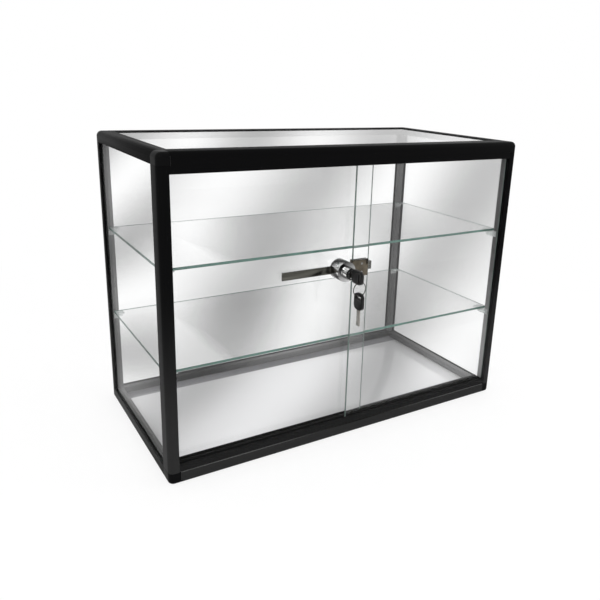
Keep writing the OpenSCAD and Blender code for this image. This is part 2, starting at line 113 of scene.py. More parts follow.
BACK_REFLECTIONS = ReflectionBands(turns=(2.45, 0.0, -1.74), offset=0.892, share=0.526, start=PLAIN_LEFT)
RIGHT_REFLECTIONS = ReflectionBands(turns=(0.0, -2.56, -1.61), offset=0.888, share=0.524)
LEFT_REFLECTIONS = ReflectionBands(turns=(0.0, -2.34, -5.63), offset=0.291, share=0.523)
TOP_REFLECTIONS = ReflectionBands(turns=(4.56, -2.56, 0.0), offset=0.028, share=0.44)
DECK_REFLECTIONS = ReflectionBands(turns=(2.28, -2.71, 0.0), offset=0.165, share=0.506)
UPPER_SHELF_REFLECTIONS = ReflectionBands(turns=(3.61, -1.80, 0.0), offset=0.931, share=0.66, start=PLAIN_LEFT)
LOWER_SHELF_REFLECTIONS = ReflectionBands(turns=(3.59, -2.00, 0.0), offset=0.049, share=0.625, start=PLAIN_LEFT)
DOOR_REFLECTIONS = ReflectionBands(turns=(1.2, 0.0, -0.8), offset=0.3, share=0.98)
RAIL_REFLECTIONS = ReflectionBands(turns=(2.38, -2.12, 0.0), offset=0.156, share=0.12)


def grey(level):
    """A neutral colour"""
    return (level, level, level)


def scaled(colour, share):
    """A colour made darker or lighter"""
    return tuple(min(1.0, part * share) for part in colour)


# Settings

ColourProperty = partial(FloatVectorProperty, subtype="COLOR", size=3, min=0, max=1)
LengthProperty = partial(FloatProperty, unit="LENGTH", min=0)
AngleProperty = partial(FloatProperty, subtype="ANGLE")
PowerProperty = partial(FloatProperty, unit="POWER", min=0)


class FinishSettings(bpy.types.PropertyGroup):
    """Colours of the case's finishes"""

    coat: ColourProperty(
        name="Powder coat", description="Colour of the frame's coat", default=(0.0035, 0.0035, 0.0037),
    )
    # Painted reflection of the floor: the black coat is lighter next to the floor
    floor_reflection_coat: ColourProperty(
        name="Powder coat's painted floor reflection", description="Colour of the coat next to the floor, a painted reflection of the floor", default=grey(0.024),
    )
    # Painted sheen: a lighter copy of the black coat on the faces that look into the case
    inner_sheen_coat: ColourProperty(
        name="Inner coat, painted sheen", description="Lighter painted copy of the coat on the faces that look into the case, a painted sheen",
        default=grey(0.09),
    )
    # Painted reflection bands on a lighter copy of the black coat, on the base rails' inner faces
    inner_rail_reflections: ColourProperty(
        name="Inner rail reflections", description="Colour of the painted reflection bands on the base rails' inner faces",
        default=grey(0.20),
    )
    # Grey on the front posts' own faces that look into the case, lighter towards the deck
    post_lining: ColourProperty(
        name="Post lining", description="Colour of the front posts' faces that look into the case, at the top",
        default=grey(0.10),
    )
    low_lining: ColourProperty(
        name="Low post lining", description="Colour of the front posts' faces that look into the case, lighter next to the deck",
        default=grey(0.36),
    )
    casting: ColourProperty(
        name="Cast corners", description="Colour of the corners", default=(0.0038, 0.0038, 0.0040),
    )
    glass: ColourProperty(
        name="Glass", description="Tint of the panes, doors and shelves", default=(0.996, 0.998, 0.998),
    )
    glass_edge: ColourProperty(
        name="Glass edge", description="Colour of the ground edges of the glass",
        default=(0.035, 0.110, 0.085),
    )
    door_edge: ColourProperty(
        name="Door edge", description="Colour of the ground edges of the doors",
        default=(0.110, 0.145, 0.130),
    )
    laminate: ColourProperty(
        name="Laminate", description="Colour of the deck board", default=(0.855, 0.855, 0.864),
    )
    # Painted shadow of the rear rail on the deck
    rear_rail_shadow: ColourProperty(
        name="Rear rail shadow", description="Colour of the painted shadow of the rear rail on the deck",
        default=(0.20, 0.20, 0.21),
    )
    key_plastic: ColourProperty(
        name="Key heads", description="Colour of the moulded key heads", default=grey(0.006),
    )


class DetailSettings(bpy.types.PropertyGroup):
    """Sizes of the details that the solids leave out"""

    frame_edge: LengthProperty(
        name="Frame edge", description="Rounding of the extrusions' small edges", default=0.30 * MM,
    )
    track_seam: LengthProperty(
        name="Track seam", description="Dark gap between the lower door track and its rail",
        default=1.7 * MM,
    )
    top_round: LengthProperty(
        name="Top rounding", description="Radius of the cast corners' upright edges and of those at the top",
        default=8 * MM,
    )
    base_round: LengthProperty(
        name="Base rounding", description="Radius of the cast corners' edges under the base",
        default=4.5 * MM,
    )
    # Painted shadow of the rear rail on the deck
    rear_rail_shadow: LengthProperty(
        name="Rear rail shadow", description="Width of the painted shadow of the rear rail along the deck's rear edge",
        default=24 * MM,
    )
    corner_seam: LengthProperty(
        name="Corner seam", description="Gap between a cast corner and its rails", default=0.15 * MM,
    )
    top_seal: LengthProperty(
        name="Top seal", description="Width of the black seal around the top pane", default=5.5 * MM,
    )
    glass_arris: LengthProperty(
        name="Glass arris", description="Width of the ground corners of the glass edges",
        default=0.45 * MM,
    )
    lock_edge: LengthProperty(
        name="Lock edge", description="Rounding of the lock's edges", default=1.00 * MM,
    )
    head_edge: LengthProperty(
        name="Key head edge", description="Rounding of the key heads' edges", default=0.90 * MM,
    )
    fine_edge: LengthProperty(
        name="Fine edge", description="Rounding of the bar, the blades and other small pieces",
        default=0.20 * MM,
    )
    ring_wire: LengthProperty(
        name="Ring wire", description="Radius of the split ring's wire", default=0.44 * MM,
    )
    screw_recess: LengthProperty(
        name="Screw recess", description="Depth of the cross in a screw's head", default=0.9 * MM,
    )
    segments: IntProperty(
        name="Segments", description="Steps in a rounded edge", min=1, max=8, default=3,
    )


class StageSettings(bpy.types.PropertyGroup):
    """Camera, lamps and floor"""

    eye: FloatVectorProperty(
        name="Eye", description="Place of the camera",
        subtype="TRANSLATION", unit="LENGTH", size=3, default=(-0.53853, -0.90346, 0.54811),
    )
    shift: FloatVectorProperty(
        name="Shift", description="Shift of the picture across and up, as a share of its width",
        size=2, default=(-0.04262, -0.04589),
    )
    lens: FloatProperty(
        name="Lens", description="Focal length in millimetres on a 36 mm sensor", min=1, default=38.474,
    )
    azimuth: AngleProperty(
        name="Azimuth", description="Direction of view, turned right from +Y", default=math.radians(32.317),
    )
    elevation: AngleProperty(
        name="Elevation", description="Angle at which the camera looks down", default=math.radians(16.907),
    )
    roll: AngleProperty(
        name="Roll", description="Turn of the camera about its line of sight", default=math.radians(2.100),
    )
    key_power: PowerProperty(
        name="Key lamp", description="Power of the large lamp on the left", default=18,
    )
    fill_power: PowerProperty(
        name="Fill lamp", description="Power of the lamp on the right", default=7,
    )
    ambient: FloatProperty(
        name="Ambient", description="Strength of the light from all round", min=0, default=0.98,
    )
    front_level: FloatProperty(
        name="Front level", description="Strength of the light that reflections show in front of the case",
        min=0, default=0.18,
    )
    strip_spacing: FloatProperty(
        name="Strip spacing", description="Degrees between the bright strips that the top pane reflects",
        min=1, default=12,
    )
    strip_offset: FloatProperty(
        name="Strip offset", description="Turn of the bright strips, as a share of their spacing",
        default=0.333,
    )
    strip_level: FloatProperty(
        name="Strip level", description="Strength of the light between the bright strips",
        min=0, default=0.7,
    )
    strip_peak: FloatProperty(
        name="Strip peak", description="Strength of the light in the bright strips", min=0, default=1.12,
    )
    floor_size: FloatProperty(
        name="Floor", description="Width of the floor", unit="LENGTH", min=1, default=40,
    )


def settings():
    """The scene's settings"""
    return bpy.context.scene.display_case


# Node helpers


def set_inputs(tree, node, values):
    """Gives a node's inputs plain values, or links them to other nodes' outputs"""
    for name, value in values.items():
        socket = node.inputs[name]
        if isinstance(value, bpy.types.NodeSocket):
            tree.links.new(value, socket)
        elif socket.type == "RGBA":
            socket.default_value = (*value, 1)
        else:
            socket.default_value = value


def add_node(tree, kind, values=None, **options):
    """A new node with the given options and inputs"""
    node = tree.nodes.new(kind)
    for name, value in options.items():
        setattr(node, name, value)
    set_inputs(tree, node, values or {})
    return node


def work_out(tree, operation, *terms):
    """The result of a math node"""
    return add_node(tree, "ShaderNodeMath", dict(enumerate(terms)), operation=operation).outputs[0]


def coordinate(tree, vector, axis):
    """One coordinate of a vector"""
    return add_node(tree, "ShaderNodeSeparateXYZ", {"Vector": vector}).outputs[axis]


def remap(tree, value, from_range, to_range=(0.0, 1.0), **options):
    """A value carried from one range to another and kept inside it"""
    values = {
        "Value": value,
        "From Min": from_range[0], "From Max": from_range[1],
        "To Min": to_range[0], "To Max": to_range[1],
    }
    return add_node(tree, "ShaderNodeMapRange", values, **options).outputs["Result"]


def blend(tree, level, first, second):
    """A colour between two others, by a level from 0 to 1"""
    values = {"Factor": level, "A": first, "B": second}
    return add_node(tree, "ShaderNodeMix", values, data_type="RGBA").outputs["Result"]


def bumped(tree, height, distance, strength):
    """A normal raised by a height"""
    values = {"Height": height, "Distance": distance, "Strength": strength}
    return add_node(tree, "ShaderNodeBump", values).outputs["Normal"]


def mix_in(tree, share, other):
    """Puts another shader on the surface by a share, with the principled one under it"""
    first = tree.nodes["Principled BSDF"].outputs["BSDF"]
    mix = add_node(tree, "ShaderNodeMixShader", {"Fac": share, 1: first, 2: other})
    set_inputs(tree, tree.nodes["Material Output"], {"Surface": mix.outputs["Shader"]})


def new_group(name, kind, inputs, outputs):
    """A node group with named sockets, with its inputs as its nodes see them and its last node"""
    group = bpy.data.node_groups.new(name, f"{kind}NodeTree")
    for side, sockets in (("INPUT", inputs), ("OUTPUT", outputs)):
        for label, socket in sockets.items():
            group.interface.new_socket(label, in_out=side, socket_type=f"NodeSocket{socket}")
    source = group.nodes.new("NodeGroupInput").outputs
    last = group.nodes.new("NodeGroupOutput")
    return group, source, last


def shared_group(name, build):
    """A node group by name, built when it is first asked for"""
    return bpy.data.node_groups.get(name) or build(name)


def grain_group(name):
    """Noise as a height and as a level between two inputs, stretched along each axis"""
    inputs = {"Vector": "Vector", "Stretch": "Vector", "Scale": "Float", "Low": "Float", "High": "Float"}
    group, source, last = new_group(name, "Shader", inputs, {"Height": "Float", "Level": "Float"})
    drawn = add_node(
        group, "ShaderNodeVectorMath", {0: source["Vector"], 1: source["Stretch"]}, operation="MULTIPLY",
    )
    noise = add_node(
        group, "ShaderNodeTexNoise",
        {"Vector": drawn.outputs["Vector"], "Scale": source["Scale"], "Detail": 3.0, "Roughness": 0.55},
    )
    height = noise.outputs["Fac"]
    level = remap(group, height, NOISE_RANGE, (source["Low"], source["High"]))
    set_inputs(group, last, {"Height": height, "Level": level})
    return group


def reflection_band_group(name):
    """Painted reflection bands, from one colour to another and back; left of their start, the light colour is
    plain
    """
    inputs = {
        "Vector": "Vector", "Turns": "Vector", "Offset": "Float", "Start": "Float",
        "Dark": "Color", "Light": "Color",
    }
    group, source, last = new_group(name, "Shader", inputs, {"Color": "Color"})
    along = add_node(
        group, "ShaderNodeVectorMath", {0: source["Vector"], 1: source["Turns"]}, operation="DOT_PRODUCT",
    )
    turns = work_out(group, "ADD", along.outputs["Value"], source["Offset"])
    wave = work_out(group, "COSINE", work_out(group, "MULTIPLY", turns, math.tau))
    past_start = work_out(group, "SUBTRACT", coordinate(group, source["Vector"], "X"), source["Start"])
    plain = remap(group, past_start, (0.0, BAND_FADE), (1.0, 0.0))
    level = work_out(group, "MAXIMUM", plain, remap(group, wave, (-1.0, 1.0)))
    set_inputs(group, last, {"Color": blend(group, level, source["Dark"], source["Light"])})
    return group


def grain(tree, place, scale, low=0.0, high=1.0, stretch=(1.0, 1.0, 1.0)):
    """The outputs of grain: orange peel on a coat, brushing or smears on metal, clouds in a colour"""
    values = {"Vector": place, "Stretch": stretch, "Scale": scale, "Low": low, "High": high}
    group = shared_group("Fine grain", grain_group)
    return add_node(tree, "ShaderNodeGroup", values, node_tree=group).outputs


def painted_reflections(tree, place, bands, colour):
    """A colour with soft darker bands of painted reflection"""
    values = {
        "Vector": place, "Turns": bands.turns, "Offset": bands.offset, "Start": bands.start,
        "Dark": scaled(colour, bands.share), "Light": colour,
    }
    group = shared_group("Soft bands", reflection_band_group)
    return add_node(tree, "ShaderNodeGroup", values, node_tree=group).outputs["Color"]


def by_height(tree, place, low_colour, high_colour):
    """A colour that goes from one near the floor to another towards the top of the case; on the powder and
    track coats, the one near the floor is a painted reflection of the floor
    """
    fade = (0.0, FADE_SHARE * CAD_HIGH.z)
    level = remap(tree, coordinate(tree, place, "Z"), fade, interpolation_type="SMOOTHERSTEP")
    return blend(tree, level, low_colour, high_colour)


def new_material(name, maker):
    """A material whose shader gets the inputs that a maker puts together in its tree"""
    material = bpy.data.materials.new(name)
    material.use_nodes = True
    tree = material.node_tree
    place = add_node(tree, "ShaderNodeTexCoord").outputs["Object"]
    set_inputs(tree, tree.nodes["Principled BSDF"], maker(tree, place))
    return material


# Finishes: each maker gets a material's tree and the piece's own coordinates, and returns the shader's inputs


def coated(tree, place, colour, roughness, grain_scale, specular, low_colour=None, bands=None):
    """A satin coat or moulding with fine orange peel. Its colour has painted reflection bands if bands are
    given, else a change with height if a low colour is given (on the black coats, a painted floor reflection),
    else faint random clouds
    """
    if bands:
        base = painted_reflections(tree, place, bands, colour)
    elif low_colour:
        base = by_height(tree, place, low_colour, colour)
    else:
        cloud = grain(tree, place, scale=14.0)
        base = blend(tree, cloud["Level"], scaled(colour, 0.8), scaled(colour, 1.25))
    peel = grain(tree, place, grain_scale, roughness - ROUGHNESS_SPREAD, roughness + ROUGHNESS_SPREAD)
    return {
        "Base Color": base,
        "Roughness": peel["Level"],
        "Specular IOR Level": specular,
        "Normal": bumped(tree, peel["Height"], distance=0.05 * MM, strength=0.25),
    }


def plated(tree, place, stops):
    """Bright plating whose colour holds a painted reflection of a dark studio: (share, grey) stops from face on
    to the rim
    """
    facing = add_node(tree, "ShaderNodeLayerWeight", {"Blend": 0.5}).outputs["Facing"]
    ramp = add_node(tree, "ShaderNodeValToRGB", {"Fac": facing})
    elements = ramp.color_ramp.elements
    elements.remove(elements[1])
    elements[0].position, first_level = stops[0]
    elements[0].color = (*grey(first_level), 1)
    for share, level in stops[1:]:
        elements.new(share).color = (*grey(level), 1)
    smear = grain(tree, place, SMEAR_SCALE, low=0.05, high=0.12)
    return {
        "Base Color": ramp.outputs["Color"],
        "Metallic": 1.0,
        "Roughness": smear["Level"],
        "Normal": bumped(tree, smear["Height"], distance=0.01 * MM, strength=0.1),
    }


def polished(tree, place, colour, roughness, stretch, dark):
    """Plated metal with faint streaks and smears"""
    streak = grain(tree, place, scale=1.0, stretch=stretch)
    smear = grain(tree, place, SMEAR_SCALE, low=0.7 * roughness, high=1.5 * roughness)
    return {
        "Base Color": blend(tree, streak["Level"], scaled(colour, dark), colour),
        "Metallic": 1.0,
        "Roughness": smear["Level"],
        "Normal": bumped(tree, streak["Height"], distance=0.01 * MM, strength=0.15),
    }


def sheet_glass(tree, place, bands, tint, ior=1.5):
    """Clear float glass with soft grey bands of painted reflection in its colour, which lets the lamps' light
    through
    """
    path = add_node(tree, "ShaderNodeLightPath").outputs
    passing = work_out(tree, "MAXIMUM", path["Is Shadow Ray"], path["Is Diffuse Ray"])
    clear = add_node(tree, "ShaderNodeBsdfTransparent", {"Color": grey(0.98)})
    mix_in(tree, passing, clear.outputs["BSDF"])
    return {
        "Base Color": painted_reflections(tree, place, bands, tint),
        "Roughness": 0.0,
        "IOR": ior,
        "Transmission Weight": 1.0,
    }


def ground_edge(tree, place, colour):
    """The green of a ground and polished glass edge"""
    depth = grain(tree, place, scale=1.0, stretch=(25.0, 25.0, 60.0))
    grind = grain(tree, place, scale=900.0, low=0.12, high=0.3)
    return {
        "Base Color": blend(tree, depth["Level"], scaled(colour, 0.75), scaled(colour, 1.25)),
        "Roughness": grind["Level"],
        "IOR": 1.5,
        "Coat Weight": 0.3,
        "Coat Roughness": 0.05,
    }


def laminate_sheet(tree, place, colour, rail_shadow):
    """Glossy white laminate with painted reflection bands in its colour and a painted shadow of the rear rail
    along its rear edge
    """
    # Painted shadow of the rear rail: a grey strip along the deck's rear edge
    start_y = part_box("base_rear_rail")[0].y - settings().detail.rear_rail_shadow
    strip = remap(tree, coordinate(tree, place, "Y"), (start_y, start_y + MM))
    peel = grain(tree, place, scale=420.0, low=0.10, high=0.18)
    return {
        "Base Color": blend(tree, strip, painted_reflections(tree, place, DECK_REFLECTIONS, colour), rail_shadow),
        "Roughness": peel["Level"],
        "IOR": 1.5,
        "Coat Weight": 0.35,
        "Coat Roughness": 0.03,
        "Normal": bumped(tree, peel["Height"], distance=0.02 * MM, strength=0.1),
    }


def clear_moulding(tree, place):
    """Milky clear plastic"""
    haze = grain(tree, place, scale=260.0, low=0.12, high=0.3)
    cloud = grain(tree, place, scale=90.0)
    return {
        "Base Color": blend(tree, cloud["Level"], (0.74, 0.78, 0.77), (0.86, 0.89, 0.88)),
        "Roughness": haze["Level"],
        "IOR": 1.49,
        "Transmission Weight": 0.55,
    }


def finish_makers(colours):
    """What makes each finish, by the finish's name"""
    satin = {"roughness": 0.42, "grain_scale": 1500.0, "specular": 0.01}
    clear = partial(sheet_glass, tint=colours.glass)
    return {
        # The black coat is lighter next to the floor, a painted reflection of the floor; the tracks get a
        # dimmer one
        "powder coat": partial(coated, colour=colours.coat, low_colour=colours.floor_reflection_coat, **satin),
        "track coat": partial(
            coated, colour=colours.coat, low_colour=scaled(colours.floor_reflection_coat, 0.55), **satin,
        ),
        # Painted sheen on the inner faces, and painted reflection bands on the base rails' inner faces
        "inner painted sheen coat": partial(coated, colour=colours.inner_sheen_coat, **satin),
        "inner rail coat with painted reflections": partial(coated, colour=colours.inner_rail_reflections, bands=RAIL_REFLECTIONS, **satin),
        "post lining": partial(
            coated, colour=colours.post_lining, low_colour=colours.low_lining,
            roughness=0.70, grain_scale=2200.0, specular=0.05,
        ),
        "cast corner": partial(
            coated, colour=colours.casting, roughness=0.36, grain_scale=1100.0, specular=0.02,
        ),
        "black oxide": partial(
            coated, colour=grey(0.012), roughness=0.5, grain_scale=1800.0, specular=0.1,
        ),
        "key plastic": partial(
            coated, colour=colours.key_plastic, roughness=0.34, grain_scale=1900.0, specular=0.22,
        ),
        "rubber": partial(coated, colour=grey(0.016), roughness=0.75, grain_scale=2400.0, specular=0.20),
        "nylon": partial(
            coated, colour=(0.74, 0.74, 0.72), roughness=0.45, grain_scale=1700.0, specular=0.40,
        ),
        # Each pane, the doors and the shelves carry their own painted reflection bands
        "back glass": partial(clear, bands=BACK_REFLECTIONS, ior=1.3),
        "left glass": partial(clear, bands=LEFT_REFLECTIONS, ior=1.06),
        "right glass": partial(clear, bands=RIGHT_REFLECTIONS, ior=1.3),
        "top glass": partial(clear, bands=TOP_REFLECTIONS),
        "door glass": partial(clear, bands=DOOR_REFLECTIONS, ior=1.38),
        "upper shelf glass": partial(clear, bands=UPPER_SHELF_REFLECTIONS),
        "lower shelf glass": partial(clear, bands=LOWER_SHELF_REFLECTIONS),
        "glass edge": partial(ground_edge, colour=colours.glass_edge),
        "door edge": partial(ground_edge, colour=colours.door_edge),
        # The deck's colour holds painted reflection bands and a painted shadow of the rear rail
        "laminate": partial(laminate_sheet, colour=colours.laminate, rail_shadow=colours.rear_rail_shadow),
        # Chrome whose colour holds a painted reflection of a dark studio
        "chrome": partial(
            plated, stops=((0.0, 0.03), (0.14, 0.06), (0.28, 0.5), (0.36, 0.9), (0.5, 0.08), (1.0, 0.02)),
        ),
        "smoked chrome": partial(
            polished, colour=(0.15, 0.13, 0.10), roughness=0.10, stretch=(60.0, 200.0, 60.0), dark=0.4,
        ),
        "ratchet steel": partial(
            polished, colour=(0.13, 0.128, 0.112), roughness=0.16, stretch=(18.0, 400.0, 400.0), dark=0.35,
        ),
        "nickel": partial(
            polished, colour=(0.42, 0.40, 0.37), roughness=0.20, stretch=(300.0, 60.0, 60.0), dark=0.6,
        ),
        "zinc": partial(
            polished, colour=(0.50, 0.50, 0.51), roughness=0.30, stretch=(200.0, 200.0, 60.0), dark=0.7,
        ),
        "clear plastic": clear_moulding,
    }


def finish(name):
    """A finish by name, built when it is first asked for"""
    return bpy.data.materials.get(name) or new_material(name, finish_makers(settings().finish)[name])


# Mesh helpers


def add_object(name, data):
    """A new object in the scene"""
    item = bpy.data.objects.new(name, data)
    bpy.context.scene.collection.objects.link(item)
    return item


def place_piece(mesh, name, body, nodes, materials):
    """Puts a finished mesh into the scene as a piece that rides on a body"""
    if not mesh.materials:
        for material in materials:
            mesh.materials.append(finish(material))
    piece = add_object(name, mesh)
    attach(piece, body)
    if nodes:
        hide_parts(*nodes)


def with_modifiers(mesh, add):
    """The mesh that is left once the modifiers that add() puts on an object are applied"""
    carrier = add_object("carrier", mesh)
    add(carrier)
    graph = bpy.context.evaluated_depsgraph_get()
    result = bpy.data.meshes.new_from_object(carrier.evaluated_get(graph), depsgraph=graph)
    bpy.data.objects.remove(carrier)
    return result


def round_edges(mesh, width, segments=None):
    """Rounds the sharp edges of a mesh, and keeps its flat faces flat"""
    mesh.shade_smooth()

    def add(carrier):
        bevel = carrier.modifiers.new("Rounded edges", "BEVEL")
        bevel.width = width
        bevel.segments = segments or settings().detail.segments
        bevel.limit_method = "ANGLE"
        bevel.angle_limit = SHARP_ANGLE
        bevel.harden_normals = True

    return with_modifiers(mesh, add)


def solid_shape(node):
    """A bmesh of a solid, with the corners of its triangles joined"""
    shape = bmesh.new()
    shape.from_mesh(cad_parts[node].data)
    bmesh.ops.remove_doubles(shape, verts=shape.verts, dist=MERGE_DISTANCE)
    return shape


def plain_mesh(shape, name):
    """A mesh from a bmesh, which is freed"""
    mesh = bpy.data.meshes.new(name)
    shape.to_mesh(mesh)
    shape.free()
    return mesh


def shape_mesh(shape, name):
    """A mesh from a bmesh, with outward faces"""
    bmesh.ops.recalc_face_normals(shape, faces=shape.faces)
    return plain_mesh(shape, name)


def node_mesh(node):
    """A copy of a solid's mesh with its triangles merged into whole faces"""
    shape = solid_shape(node)
    bmesh.ops.dissolve_limit(shape, angle_limit=FLAT_ANGLE, verts=shape.verts, edges=shape.edges)
    return plain_mesh(shape, node)


def rounded_node(node, body, material, width):
    """A piece with a solid's shape and rounded edges"""
    place_piece(round_edges(node_mesh(node), width), f"{node}_piece", body, [node], [material])


def box_shape(low, high):
    """A bmesh box between two corners"""
    shape = bmesh.new()
    bmesh.ops.create_cube(shape, size=1)
    for vertex in shape.verts:
        for axis in range(3):
            vertex.co[axis] = low[axis] if vertex.co[axis] < 0 else high[axis]
    return shape


def skin(shape, loops):
    """Puts faces between each loop of vertices and the next one"""
    for here, there in zip(loops, loops[1:]):
        for index in range(len(here)):
            after = (index + 1) % len(here)
            shape.faces.new((here[index], here[after], there[after], there[index]))


# Frame


def round_off(shape, edges, radius):
    """Rounds edges of a bmesh to a radius"""
    bmesh.ops.bevel(
        shape, geom=list(edges), offset=radius, segments=10, profile=0.5, affect="EDGES", clamp_overlap=False,
    )


def lies_at(edge, axis, place):
    """Whether both ends of an edge have the given coordinate"""
    return all(abs(vertex.co[axis] - place) < MERGE_DISTANCE for vertex in edge.verts)


def on_rim(edge, outer, inner):
    """Whether an edge lies at the outer height of a corner, along its two outer sides"""
    return lies_at(edge, 2, outer.z) and not lies_at(edge, 0, inner.x) and not lies_at(edge, 1, inner.y)


def corner_mesh(level, corner):
    """A cast corner: a block with a ball-rounded outer corner, between its two rails and its post"""
    sizes = settings().detail
    side, end = corner.split("_")
    case_low, case_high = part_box(f"{level}_{corner}_corner")
    neighbours = (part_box(f"{level}_{end}_rail"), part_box(f"{level}_{side}_rail"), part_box(f"{corner}_post"))
    at_low_end = (side == "left", end == "front", level == "base")
    outer = Vector()
    inner = Vector()
    for axis, (low, high) in enumerate(neighbours):
        if at_low_end[axis]:
            outer[axis] = case_low[axis]
            inner[axis] = low[axis] - sizes.corner_seam
        else:
            outer[axis] = case_high[axis]
            inner[axis] = high[axis] + sizes.corner_seam
    shape = box_shape(Vector(map(min, outer, inner)), Vector(map(max, outer, inner)))
    tip = min(shape.verts, key=lambda vertex: (vertex.co - outer).length)
    if level == "top":
        round_off(shape, tip.link_edges, sizes.top_round)
    else:
        upright = [edge for edge in tip.link_edges if edge.other_vert(tip).co.z > outer.z]
        round_off(shape, upright, sizes.top_round)
        rim = [edge for edge in shape.edges if on_rim(edge, outer, inner)]
        round_off(shape, rim, sizes.base_round)
    return shape_mesh(shape, f"{level}_{corner}")


def mark_inside(mesh):
    """Puts the faces of a rail or post that look into the case into slot 1"""
    low = Vector((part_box("left_pane")[1].x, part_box("right_door_glass")[0].y, 0))
    high = Vector((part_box("right_pane")[0].x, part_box("back_pane")[0].y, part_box("top_pane")[0].z))
    for face in mesh.polygons:
        inside = all(low[axis] < face.center[axis] < high[axis] for axis in range(3))
        face.material_index = 1 if inside else 0


def lower_track_mesh(sizes):
    """The lower door track, raised off its rail by a seam"""
    mesh = node_mesh("lower_track")
    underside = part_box("lower_track")[0].z
    for vertex in mesh.vertices:
        if abs(vertex.co.z - underside) < MERGE_DISTANCE:
            vertex.co.z += sizes.track_seam
    return round_edges(mesh, sizes.frame_edge)


class DISPLAYCASE_OT_frame(bpy.types.Operator):
    """Build the rails, posts, cast corners and door tracks"""

    bl_idname = "display_case.build_frame"
    bl_label = "Frame"

    def execute(self, context):
        sizes = settings().detail
        rails = [f"{level}_{rail}_rail" for level in ("base", "top") for rail in RAILS]
        posts = [f"{corner}_post" for corner in CORNERS]
        for node in rails + posts:
            mesh = round_edges(node_mesh(node), sizes.frame_edge)
            mark_inside(mesh)
            # Faces that look into the case get a lighter painted copy of the coat, a painted sheen, with
            # painted reflection bands on the base rails; the front posts' get their own grey
            inside = "inner painted sheen coat"
            if node.endswith("front_post"):
                inside = "post lining"
            elif node.startswith("base"):
                inside = "inner rail coat with painted reflections"
            place_piece(mesh, f"{node}_piece", "case", [node], ["powder coat", inside])
        lower_track = lower_track_mesh(sizes)
        place_piece(lower_track, "lower_track_piece", "case", ["lower_track"], ["track coat"])
        rounded_node("upper_track", "case", "track coat", sizes.frame_edge)
        for level in ("base", "top"):
            for corner in CORNERS:
                node = f"{level}_{corner}_corner"
                mesh = round_edges(corner_mesh(level, corner), sizes.frame_edge, segments=2)
                place_piece(mesh, f"{node}_piece", "case", [node], ["cast corner"])
        return {"FINISHED"}


# Glass


def glass_mesh(node):
    """A sheet of glass with ground edges: its faces in slot 0, its edges in slot 1"""
    low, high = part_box(node)
    shape = box_shape(low, high)
    size = high - low
    thin = min(range(3), key=lambda axis: size[axis])
    for face in shape.faces:
        face.normal_update()
        face.material_index = 0 if abs(face.normal[thin]) > 0.5 else 1
    bmesh.ops.bevel(
        shape, geom=list(shape.edges), offset=settings().detail.glass_arris, segments=1,
        profile=0.5, affect="EDGES", material=1,
    )
    return shape_mesh(shape, node)


def top_seal_mesh(sizes):
    """The black seal around the top pane: a flat frame that fills the step from the rails to the glass"""
    gap = 0.05 * MM
    left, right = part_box("top_left_rail")[1].x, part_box("top_right_rail")[0].x
    front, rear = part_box("top_front_rail")[1].y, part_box("top_rear_rail")[0].y
    bottom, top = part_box("top_pane")[1].z + gap, CAD_HIGH.z - gap
    shape = bmesh.new()
    loops = []
    for inset, z in ((0, bottom), (sizes.top_seal, bottom), (sizes.top_seal, top), (0, top)):
        corners = (
            (left + inset, front + inset, z), (right - inset, front + inset, z),
            (right - inset, rear - inset, z), (left + inset, rear - inset, z),
        )
        loops.append([shape.verts.new(corner) for corner in corners])
    skin(shape, loops + loops[:1])
    return round_edges(shape_mesh(shape, "top_seal"), sizes.fine_edge)


def add_sheet(node, body, face, edge):
    """A piece of glass with one finish on its faces and another on its edges"""
    place_piece(glass_mesh(node), f"{node}_sheet", body, [node], [face, edge])


class DISPLAYCASE_OT_glass(bpy.types.Operator):
    """Build the fixed panes, the doors, the shelves, the top pane's seal and the deck board"""

    bl_idname = "display_case.build_glass"
    bl_label = "Glass and deck"

    def execute(self, context):
        # The edges of the fixed panes sit in black seals
        for side in ("top", "left", "right", "back"):
            add_sheet(f"{side}_pane", "case", f"{side} glass", "rubber")
        for door in ("left_door", "right_door"):
            add_sheet(f"{door}_glass", door, "door glass", "door edge")
        for shelf in ("upper", "lower"):
            add_sheet(f"{shelf}_shelf", "case", f"{shelf} shelf glass", "glass edge")
        sizes = settings().detail
        place_piece(top_seal_mesh(sizes), "top_pane_seal", "case", [], ["rubber"])
        rounded_node("deck_board", "case", "laminate", sizes.frame_edge)
        return {"FINISHED"}


# Fittings and fasteners


class DISPLAYCASE_OT_fittings(bpy.types.Operator):
    """Build the shelf clips, the door buffers and the door glides"""

    bl_idname = "display_case.build_fittings"
    bl_label = "Clips, buffers and glides"

    def execute(self, context):
        sizes = settings().detail
        for node in ("upper_shelf_clips", "lower_shelf_clips"):
            rounded_node(node, "case", "clear plastic", sizes.frame_edge)
        rounded_node("door_bumpers", "case", "rubber", sizes.frame_edge)
        for door in ("left_door", "right_door"):
            rounded_node(f"{door}_glides", door, "nylon", sizes.fine_edge)
        return {"FINISHED"}


def join(tree, meshes):
    """Several meshes as one"""
    node = add_node(tree, "GeometryNodeJoinGeometry")
    for mesh in meshes:
        tree.links.new(mesh, node.inputs["Geometry"])
    return node.outputs["Geometry"]


